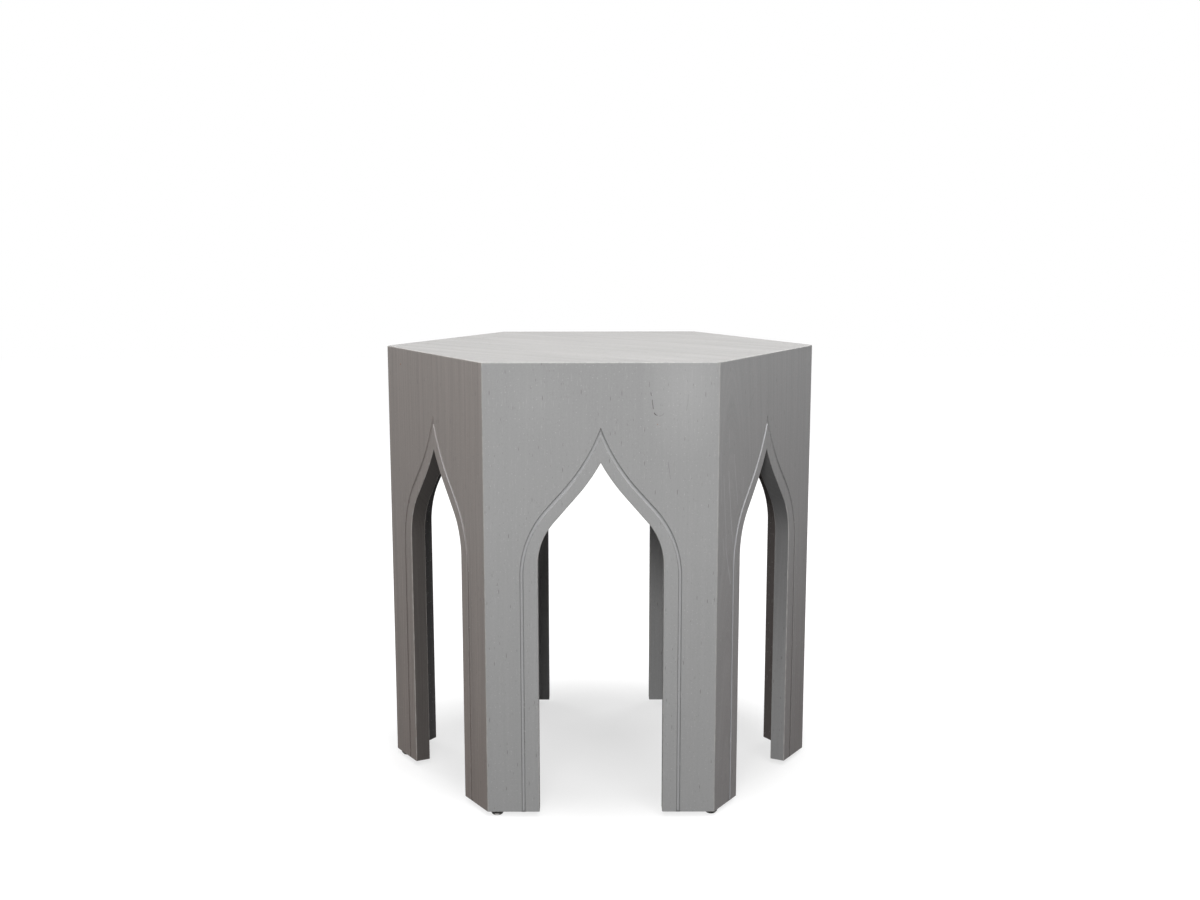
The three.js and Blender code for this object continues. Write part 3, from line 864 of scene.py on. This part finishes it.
def moulded_rubber(name):
    """Black rubber with a fine moulded grain and a dusting of pale floor dirt."""
    r = Recipe(name, Specular_IOR_Level=RUBBER_SHEEN)
    grain = r.noise(r.place, scale=(2600, 2600, 2600))
    dust = r.noise(r.place, scale=(260, 260, 260), detail=3.0, roughness=0.65)
    colour = r.mix(r.ramp(dust, low=0.45, high=0.75, end=0.35), RUBBER_COLOUR, DIRT_COLOUR)
    roughness = r.total((dust, 0.2), (1.0, 0.68))
    return r.finished(colour, roughness, grain, RUBBER_RELIEF)


# Joinery that the panels are cut for, as in the CAD part
SLOT_PLAY = 0.0004
FIT = 0.0003
GLUE_LINE = 0.0003
BLOCK_LEG = 0.044
BLOCK_HEIGHT = 0.076
BLOCK_TIP = 0.008
BLOCK_HEEL = 0.003
BLOCK_EASING = 0.0012
SCREW_LENGTH = 0.028
SCREW_RADIUS = 0.002
SCREW_POINT = 0.005
SCREW_HEAD_RADIUS = 0.004
SCREW_HEAD_HEIGHT = 0.003
SCREW_BITE = 0.012
PAN_SEAT = 0.95
PAN_EASING = 0.0002
PAN_EDGE = 0.0009
PAN_FLAT = 0.55
RECESS_HALF = 0.0023
RECESS_WALL = 0.00055
RECESS_DEPTH = 0.0018
RECESS_OVERCUT = 0.0005
RECESS_FLOOR, RECESS_MOUTH = 0.55, 1.1
GLIDE_FROM_CORNER = 0.0115
GLIDE_RADIUS = 0.008
GLIDE_FOOT_RADIUS = 0.004
CUP_HEIGHT = 0.005
CUP_WALL = 0.0008
NAIL_RADIUS = 0.0012
NAIL_HEAD_HEIGHT = 0.001
NAIL_BITE = 0.016
RUBBER_SWELL = [(0.0071, 0.0053), (0.0074, 0.0056), (0.0074, 0.0058), (0.0072, 0.0060)]
RUBBER_TOP_RADIUS = 0.0068

MITRE = (math.pi - TURN) / 2
CORNER = Matrix.Translation((-SIDE / 2, 0, 0)) @ Matrix.Rotation(MITRE, 4, "Z")
FAR_CORNER = Matrix.Translation((SIDE / 2, 0, 0)) @ Matrix.Rotation(math.pi - MITRE, 4, "Z")
BLOCK_TOP = PANEL_HEIGHT - BOARD - GLUE_LINE
SHANK_LENGTH = SCREW_LENGTH - SCREW_HEAD_HEIGHT
SCREW_FROM_MIDDLE = SIDE / 2 - BOARD / math.tan(MITRE) - BLOCK_LEG / 2
GLIDE_PLACE = Matrix.Translation((GLIDE_FROM_CORNER - SIDE / 2, BOARD / 2, -LEG_END))


def panel_matrix(k):
    """Place of the panel that is k turns from the front."""
    return Matrix.Rotation(k * TURN, 4, "Z") @ Matrix.Translation((0, -APOTHEM, LEG_END))


def screw_place(x, drop):
    """A screw's place in the panel's frame, a share of the block's height below its top."""
    inward = Matrix.Rotation(-math.pi / 2, 4, "X")
    return Matrix.Translation((x, BOARD - SCREW_BITE, BLOCK_TOP - BLOCK_HEIGHT * drop)) @ inward


SCREW_PLACES = {
    "leading": screw_place(-SCREW_FROM_MIDDLE, 0.25),
    "trailing": screw_place(SCREW_FROM_MIDDLE, 0.75),
}


def screw_hole():
    """Stepped hole for a screw's shank and head, up +Z."""
    shank = SCREW_RADIUS + FIT
    head = SCREW_HEAD_RADIUS + FIT
    neck = SHANK_LENGTH - FIT
    far = SHANK_LENGTH + BLOCK_LEG
    return lathe([(0, -FIT), (shank, -FIT), (shank, neck), (head, neck), (head, far), (0, far)])


def nail_hole():
    """Hole for a glide's nail, up +Z."""
    radius = NAIL_RADIUS + FIT
    top = LEG_END + NAIL_BITE + FIT
    return lathe([(0, 0), (radius, 0), (radius, top), (0, top)])


def panel_cuts():
    """Slots of the three tongues and holes of the screws and the nail, in the panel's frame."""
    to_panel = panel_matrix(0).inverted()
    tongues = ["corner_spline_front_left", "corner_spline_front_right", "rim_spline_front"]
    cuts = [grown_node(node, to_panel, SLOT_PLAY) for node in tongues]
    cuts += [moved(screw_hole(), matrix) for matrix in SCREW_PLACES.values()]
    cuts.append(moved(nail_hole(), GLIDE_PLACE))
    return joined(cuts)


def block_mesh():
    """Glue block in its corner's frame, with eased edges and a stepped hole for either panel's screw."""
    face_x, face_y = math.cos(MITRE), math.sin(MITRE)
    tip_x = BLOCK_LEG * face_x + BLOCK_TIP * face_y
    tip_y = BLOCK_LEG * face_y - BLOCK_TIP * face_x
    heel = (BLOCK_HEEL * face_x, BLOCK_HEEL * face_y)
    near = [heel, (BLOCK_LEG * face_x, BLOCK_LEG * face_y), (tip_x, tip_y)]
    outline = [(x, -y) for x, y in near] + near[::-1]
    block = tapered(outline, [(BLOCK_TOP - BLOCK_HEIGHT, 1), (BLOCK_TOP, 1)])
    bmesh.ops.bevel(block, geom=block.edges[:], offset=BLOCK_EASING, segments=BEVEL_STEPS,
                    affect="EDGES", profile=0.5)
    inner_corner = (BOARD + GLUE_LINE) / math.sin(MITRE)
    block = moved(block, Matrix.Translation((inner_corner, 0, 0)))
    own = moved(screw_hole(), CORNER.inverted() @ SCREW_PLACES["leading"])
    other = moved(screw_hole(), FAR_CORNER.inverted() @ SCREW_PLACES["trailing"])
    return cut(finished(block, "block"), joined([own, other]))


def screw_mesh():
    """Pan-head screw up +Z from its point, with a crossed recess in the head."""
    shank, head, low = SCREW_RADIUS, SCREW_HEAD_RADIUS, SHANK_LENGTH
    high = low + SCREW_HEAD_HEIGHT
    edge = low + PAN_EDGE
    profile = [(0, 0), (shank, SCREW_POINT), (shank, low)]
    profile += [(head * PAN_SEAT, low), (head, low + PAN_EASING), (head, edge)]
    for i in range(1, CROWN_STEPS + 1):
        angle = math.pi / 2 * i / CROWN_STEPS
        radius = head * (PAN_FLAT + (1 - PAN_FLAT) * math.cos(angle))
        profile.append((radius, edge + (high - edge) * math.sin(angle)))
    profile.append((0, high))
    arm = [(RECESS_WALL, RECESS_WALL), (RECESS_WALL, RECESS_HALF), (-RECESS_WALL, RECESS_HALF)]
    outline = []
    for _ in range(4):
        outline += arm
        arm = [(-y, x) for x, y in arm]
    recess = tapered(outline, [(high - RECESS_DEPTH, RECESS_FLOOR), (high + RECESS_OVERCUT, RECESS_MOUTH)])
    return cut(finished(lathe(profile), "screw"), recess)


def dome(inset, start):
    """(radius, z) from a height up to the cup's rim, moved inward by an inset."""
    foot = GLIDE_FOOT_RADIUS - inset
    rim = GLIDE_RADIUS - inset
    rise = CUP_HEIGHT - inset
    first = math.acos(1 - (start - inset) / rise)
    points = []
    for i in range(DOME_STEPS + 1):
        angle = first + (math.pi / 2 - first) * i / DOME_STEPS
        points.append((foot + (rim - foot) * math.sin(angle), inset + rise * (1 - math.cos(angle))))
    return points


def cap_mesh():
    """Pressed steel cup with a rolled rim."""
    half = CUP_WALL / 2
    roll = []
    for i in range(1, ROLL_STEPS):
        angle = math.pi * i / ROLL_STEPS
        roll.append((GLIDE_RADIUS - half + half * math.cos(angle), CUP_HEIGHT + half * math.sin(angle)))
    inner = dome(CUP_WALL, CUP_WALL)[::-1]
    return lathe([(0, 0)] + dome(0, 0) + roll + inner + [(0, CUP_WALL)])


def cushion_mesh():
    """Rubber in the cup round the nail, squeezed out a little between the rim and the leg."""
    hole = NAIL_RADIUS + FIT
    inset = CUP_WALL + FIT
    low = inset + NAIL_HEAD_HEIGHT + FIT
    top = LEG_END - FIT
    return lathe([(hole, low)] + dome(inset, low) + RUBBER_SWELL + [(RUBBER_TOP_RADIUS, top), (hole, top)])


def paint(solid, material):
    """Give an object one material."""
    solid.data.materials.clear()
    solid.data.materials.append(material)


def dress(data, name, matrix, node, material):
    """A finished piece that rides on the stool and stands for its CAD node."""
    piece = add_object(name, data)
    piece.matrix_world = matrix
    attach(piece, "root")
    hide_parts(node)
    paint(piece, material)
    smooth(piece)


# Marks on the front panels: points (x, z) on the face, width, strength and colour
FRONT_MARKS = [
    ([(0.0571, 0.5308), (0.0571, 0.5255)], 0.0005, 0.30, CRACK),
    ([(0.0586, 0.5183), (0.0595, 0.5148)], 0.0006, 0.55, CRACK),
    ([(0.0604, 0.5099), (0.0610, 0.5051), (0.0618, 0.4992)], 0.0006, 0.60, CRACK),
    ([(0.0630, 0.4943), (0.0644, 0.4923)], 0.0008, 0.70, CRACK),
    ([(0.0644, 0.4923), (0.0663, 0.4914)], 0.0006, 0.50, CRACK),
    ([(0.0691, 0.4905), (0.0728, 0.4919), (0.0743, 0.4943)], 0.0006, 0.22, CRACK),
    ([(0.1030, 0.5157), (0.1021, 0.5051), (0.1006, 0.4972)], 0.0006, 0.16, CRACK),
    ([(0.0795, 0.436), (0.081, 0.427), (0.0825, 0.416)], 0.0005, 0.25, CRACK),
    ([(0.0667, 0.4811), (0.0668, 0.4807)], 0.0007, 0.55, STAIN),
]
RIGHT_MARKS = [
    ([(-0.058, 0.491), (-0.050, 0.500), (-0.040, 0.511)], 0.0004, 0.3, CRACK),
    ([(-0.1345, 0.446), (-0.1327, 0.413), (-0.1298, 0.383)], 0.0009, 0.22, STREAK),
    ([(-0.1251, 0.417), (-0.1219, 0.382), (-0.1182, 0.354), (-0.1168, 0.327)], 0.0010, 0.36, STREAK),
    ([(-0.1168, 0.327), (-0.1107, 0.306), (-0.1027, 0.281)], 0.0010, 0.44, STREAK),
    ([(-0.1119, 0.421), (-0.1084, 0.395), (-0.1039, 0.363), (-0.1003, 0.342)], 0.0011, 0.46, STREAK),
    ([(-0.1003, 0.342), (-0.0974, 0.331)], 0.0010, 0.28, STREAK),
    ([(-0.0967, 0.439), (-0.0913, 0.407), (-0.0847, 0.376)], 0.0010, 0.34, STREAK),
    ([(-0.0697, 0.407), (-0.0706, 0.386)], 0.0010, 0.22, STREAK),
    ([(-0.1259, 0.341), (-0.1219, 0.320)], 0.0010, 0.34, STREAK),
    ([(-0.1122, 0.471), (-0.1109, 0.450)], 0.0009, 0.22, STREAK),
]
LEFT_MARKS = [([(-0.0975, 0.5333), (-0.0965, 0.5327)], 0.0011, 0.80, STAIN)]

# Painted light and shade on the front panels, in broad patches: middle (x, z), reach (x, z) and gain of each
# colour
FRONT_PAINTED_LIGHT = [
    ((0.0, 0.560), (0.600, 0.200), (0.88, 0.88, 0.88)),
    ((0.098, 0.525), (0.055, 0.090), (1.17, 1.17, 1.17)),
    ((-0.072, 0.510), (0.045, 0.050), (1.05, 1.05, 1.05)),
]
RIGHT_PAINTED_LIGHT = [
    ((0.0, 0.0), (0.400, 0.540), (0.785, 0.735, 0.728)),
    ((0.125, 0.050), (0.070, 0.300), (0.83, 0.81, 0.80)),
]
LEFT_PAINTED_LIGHT = [((0.0, 0.0), (0.400, 0.360), (0.84, 0.79, 0.77))]

# Each panel's board; the tints that differ from panel to panel carry painted light: brighter and darker
# faces, and a warm cast on the front-left
BACK_TINT = (1.03, 1.03, 1.03)
BOARDS = {
    "front": dict(tint=(1.065, 1.065, 1.065), pith=(0.42, 0.05, 0.02), streaks=0.10, pores=0.32, specks=0.40,
                  marks=FRONT_MARKS, painted_light=FRONT_PAINTED_LIGHT),
    "front_right": dict(tint=(1.072, 1.065, 1.068), pith=(-0.108, 0.012, 0.085), streaks=0.30, pores=0.24,
                        specks=0.22, marks=RIGHT_MARKS, painted_light=RIGHT_PAINTED_LIGHT,
                        painted_ledge_light=(0.08, 0.42, 0.60), cut_painted_shade=(0.84, 0.42)),
    "back_right": dict(tint=BACK_TINT, pith=(0.35, 0.06, 0.03), streaks=0.26, pores=0.34, specks=0.30,
                       inside_painted_shade=(0.37, 0.325, 0.31)),
    "back": dict(tint=BACK_TINT, pith=(0.05, 0.030, 0.07), streaks=0.26, pores=0.30, specks=0.30),
    "back_left": dict(tint=BACK_TINT, pith=(-0.40, 0.04, 0.02), streaks=0.26, pores=0.34, specks=0.30,
                      inside_painted_shade=(0.325, 0.31, 0.315)),
    "front_left": dict(tint=(1.060, 0.962, 0.909), pith=(-0.45, 0.04, 0.015), streaks=0.62, pores=0.40,
                       specks=0.12, marks=LEFT_MARKS, painted_light=LEFT_PAINTED_LIGHT, bands=LEFT_BANDS,
                       painted_ledge_light=(0.08, 0.58, 0.0), cut_painted_shade=(0.33, 0.24)),
}

# The top's board, whose grain turns in plan from the front's normal; painted light brightens it from front to
# back, and its tint carries painted light like the panels'
TOP_BOARD = dict(tint=(1.012, 0.996, 0.981), pith=(0.55, 0.05, 0.03), streaks=0.42, pores=0.60, specks=0.30,
                 bands=TOP_BANDS, grain_axis=1, grain_turn=math.radians(48), painted_light_front_to_back=(0.935, 1.08))

panel_data = cut(finished(panel_mesh(), "arch_panel"), panel_cuts())
for k, panel in enumerate(PANEL_NAMES):
    board_paint = painted_wood(f"paint_{panel}", **BOARDS[panel])
    dress(panel_data.copy(), f"painted_panel_{panel}", panel_matrix(k), f"arch_panel_{panel}",
          board_paint)

top_slots = [grown_node(f"rim_spline_{panel}", Matrix.Identity(4), SLOT_PLAY) for panel in PANEL_NAMES]
top_data = cut(finished(top_mesh(), "top"), joined(top_slots))
top_paint = painted_wood("paint_top", **TOP_BOARD)
dress(top_data, "painted_top", Matrix.Identity(4), "top_panel", top_paint)

# Painted highlight on each glide's front, a lighter spot that stands in for a reflection: height, reach and
# tint
PAINTED_GLINT = (0.0022, (0.0036, 0.0080, 0.0011), (0.50, 0.49, 0.48, 1))

pine = sawn_pine("sawn_pine")
zinc = metal("bright_zinc", tint=(0.66, 0.67, 0.66), rough=0.22, grain=0.6, grain_scale=(300, 300, 2600))
# Black plating, whose near-black tint is partly painted shade for the dark reflections under the stool
nickel = metal("black_nickel_with_painted_shade", tint=(0.035, 0.034, 0.032), rough=0.14, grain=0.5,
               grain_scale=(900, 900, 900), glint=PAINTED_GLINT)
rubber = moulded_rubber("moulded_rubber")
ply = birch_ply("birch_tongue")
block_data = block_mesh()
screw_data = screw_mesh()
cap_data = finished(cap_mesh(), "cap")
cushion_data = finished(cushion_mesh(), "cushion")
for k, (panel, leg) in enumerate(zip(PANEL_NAMES, LEG_NAMES)):
    here = panel_matrix(k)
    dress(block_data.copy(), f"glue_block_{leg}", here @ CORNER, f"corner_block_{leg}", pine)
    for side, seat in SCREW_PLACES.items():
        dress(screw_data.copy(), f"pan_screw_{panel}_{side}", here @ seat, f"block_screw_{panel}_{side}",
              zinc)
    glide = here @ GLIDE_PLACE
    dress(cap_data.copy(), f"glide_cup_{leg}", glide, f"glide_cap_{leg}", nickel)
    dress(cushion_data.copy(), f"glide_rubber_{leg}", glide, f"glide_cushion_{leg}", rubber)

CARRIED = {"corner_spline": ply, "rim_spline": ply, "glide_nail": zinc}
for node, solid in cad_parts.items():
    for start, material in CARRIED.items():
        if node.startswith(start):
            paint(solid, material)


# Camera fitted to the photograph's 1200 x 900 frame
PHOTO_WIDTH, PHOTO_HEIGHT = 1200, 900
FOCAL_PIXELS = 1615.04
PRINCIPAL_POINT = (588.667, 526.172)
CAMERA_PLACE = Vector((-0.01006, -2.12892, 0.73588))
CAMERA_YAW, CAMERA_PITCH, CAMERA_ROLL = -0.0023, 0.19383, 0.00193
SENSOR_WIDTH = 36


def add_camera():
    """Camera at the photograph's place, angle and framing."""
    data = bpy.data.cameras.new("camera")
    camera = add_object("camera", data)
    data.sensor_width = SENSOR_WIDTH
    data.lens = FOCAL_PIXELS / PHOTO_WIDTH * SENSOR_WIDTH
    data.shift_x = (PHOTO_WIDTH / 2 - PRINCIPAL_POINT[0]) / PHOTO_WIDTH
    data.shift_y = (PRINCIPAL_POINT[1] - PHOTO_HEIGHT / 2) / PHOTO_WIDTH
    yaw = Matrix.Rotation(-CAMERA_YAW, 4, "Z")
    pitch = Matrix.Rotation(math.pi / 2 - CAMERA_PITCH, 4, "X")
    roll = Matrix.Rotation(-CAMERA_ROLL, 4, "Z")
    camera.matrix_world = Matrix.Translation(CAMERA_PLACE) @ yaw @ pitch @ roll
    bpy.context.scene.camera = camera


def seen_directly(tree):
    """1 for camera, glossy and transmission rays, which see plain white surroundings, and 0 for the rest."""
    rays = add_node(tree, "LightPath").outputs
    total = rays["Is Camera Ray"]
    for name in ("Is Glossy Ray", "Is Transmission Ray"):
        both = add_node(tree, "Math", {0: total, 1: rays[name]}, operation="ADD", use_clamp=True)
        total = both.outputs[0]
    return total


# Floor: half its size, its lower glow near the stool, which is a painted shadow, where the glow rises to
# plain white, and its two greys
FLOOR_HALF = 6
FLOOR_PAINTED_SHADOW_GLOW = 0.645
FLOOR_NEAR, FLOOR_FAR = 0.19, 0.44
FLOOR_MIDDLE = (0, 0.035, 0)
FLOOR_SHADOW_COLOUR = (0.30, 0.30, 0.30, 1)
FLOOR_BOUNCE_COLOUR = (0.14, 0.14, 0.14, 1)


def add_floor():
    """Pale floor with a painted shadow near the stool, a lower glow where the lamps' real shadow also falls,
    plain white farther out.
    """
    material = bpy.data.materials.new("floor")
    material.use_nodes = True
    tree = material.node_tree
    tree.nodes.clear()
    place = add_node(tree, "TexCoord").outputs["Object"]
    distance = add_node(tree, "VectorMath", {0: place, 1: FLOOR_MIDDLE}, operation="DISTANCE")
    # The lower glow near the stool is a painted shadow
    rise = {"Value": distance.outputs["Value"], "From Min": FLOOR_NEAR, "From Max": FLOOR_FAR,
            "To Min": FLOOR_PAINTED_SHADOW_GLOW, "To Max": 1}
    spread = add_node(tree, "MapRange", rise, interpolation_type="SMOOTHSTEP")
    glow = add_node(tree, "Emission", {"Strength": spread.outputs["Result"]})
    shade = add_node(tree, "BsdfDiffuse", {"Color": FLOOR_SHADOW_COLOUR})
    seen = add_node(tree, "AddShader", {0: glow.outputs[0], 1: shade.outputs[0]})
    bounce = add_node(tree, "BsdfDiffuse", {"Color": FLOOR_BOUNCE_COLOUR})
    split = {0: seen_directly(tree), 1: bounce.outputs[0], 2: seen.outputs[0]}
    surface = add_node(tree, "MixShader", split)
    add_node(tree, "OutputMaterial", {"Surface": surface.outputs[0]})
    h = FLOOR_HALF
    corners = [(-h, -h, 0), (h, -h, 0), (h, h, 0), (-h, h, 0)]
    data = bpy.data.meshes.new("floor")
    data.from_pydata(corners, [], [(0, 1, 2, 3)])
    data.materials.append(material)
    floor = add_object("floor", data)


def add_world():
    """White surroundings, which are seen and mirrored and give no light of their own."""
    world = bpy.data.worlds.new("world")
    bpy.context.scene.world = world
    world.use_nodes = True
    tree = world.node_tree
    background = tree.nodes["Background"]
    feed(tree, background.inputs["Color"], WHITE)
    feed(tree, background.inputs["Strength"], seen_directly(tree))


# Square lamps, all turned to one point: place, side in metres and power in watts
LAMP_TARGET = Vector((0, 0, 0.35))
LAMPS = {
    "overhead": ((0, -0.33, 1.6), 1.6, 22),
    "front_left": ((-0.3, -2.9, 1.4), 0.6, 33),
    "front_right": ((0.9, -2.2, 2.2), 1.2, 21),
    "back_right": ((1.6, 2.2, 1.2), 1.2, 28),
    "back_left": ((-1.8, 1.9, 1.2), 1.2, 22),
}


def add_lamp(name, place, side, power):
    """A square area lamp that faces the stool."""
    data = bpy.data.lights.new(name, "AREA")
    data.shape = "SQUARE"
    data.size = side
    data.energy = power
    lamp = add_object(name, data)
    lamp.location = place
    lamp.rotation_euler = (LAMP_TARGET - Vector(place)).to_track_quat("-Z", "Y").to_euler()


add_camera()
add_floor()
add_world()
for name, lamp in LAMPS.items():
    add_lamp(name, *lamp)
bpy.context.scene.view_settings.view_transform = "Standard"
